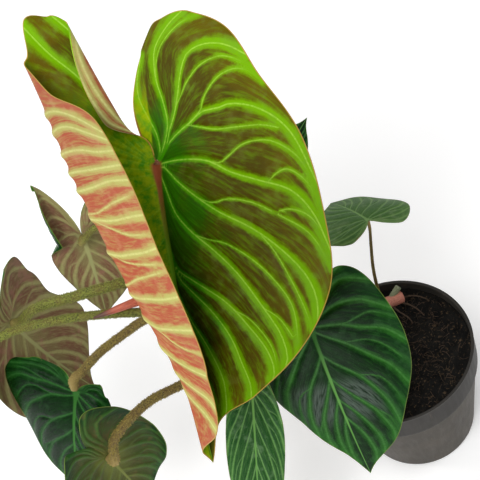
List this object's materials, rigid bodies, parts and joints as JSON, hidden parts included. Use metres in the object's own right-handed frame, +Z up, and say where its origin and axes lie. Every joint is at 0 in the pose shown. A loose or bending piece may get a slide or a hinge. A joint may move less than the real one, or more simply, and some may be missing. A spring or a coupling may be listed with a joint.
{
  "type": "potted philodendron verrucosum",
  "caption": "Philodendron verrucosum in a plastic nursery pot: heart-shaped velvety leaves on hairy petioles from a leaning stem that is rooted in dark soil",
  "frame": {"origin": "centre of the pot's flat underside, on the surface that it stands on", "axes": "+Z up along the pot's axis; +X to the right of the picture, so the leaves reach towards -X; -Y towards the camera"},
  "size_m": [0.4131, 0.2564, 0.3831],
  "materials": {
    "pot_plastic": "satin taupe-grey",
    "peat": "rough, nearly black",
    "stem_skin": "rough, brown-olive",
    "hairy_petiole": "matt, hairy, yellow-green",
    "red_sheath": "satin, salmon red",
    "young_blade": "satin, lime green",
    "mature_blade": "velvety, dark green"
  },
  "bodies": {
    "root": {"pot": "pot_plastic", "soil": "peat", "stem": "stem_skin", "sheath": "red_sheath", "petiole_crown": "hairy_petiole", "blade_crown": "young_blade", "petiole_back_left": "hairy_petiole", "blade_back_left": "mature_blade", "petiole_far_left": "hairy_petiole", "blade_far_left": "mature_blade", "petiole_outer": "hairy_petiole", "blade_outer": "mature_blade", "petiole_left": "hairy_petiole", "blade_left": "mature_blade", "petiole_left_low": "hairy_petiole", "blade_left_low": "mature_blade", "petiole_low": "hairy_petiole", "blade_low": "mature_blade", "petiole_front": "hairy_petiole", "blade_front": "mature_blade", "petiole_back": "hairy_petiole", "blade_back": "mature_blade", "petiole_small": "hairy_petiole", "blade_small": "mature_blade"}
  },
  "joints": []
}
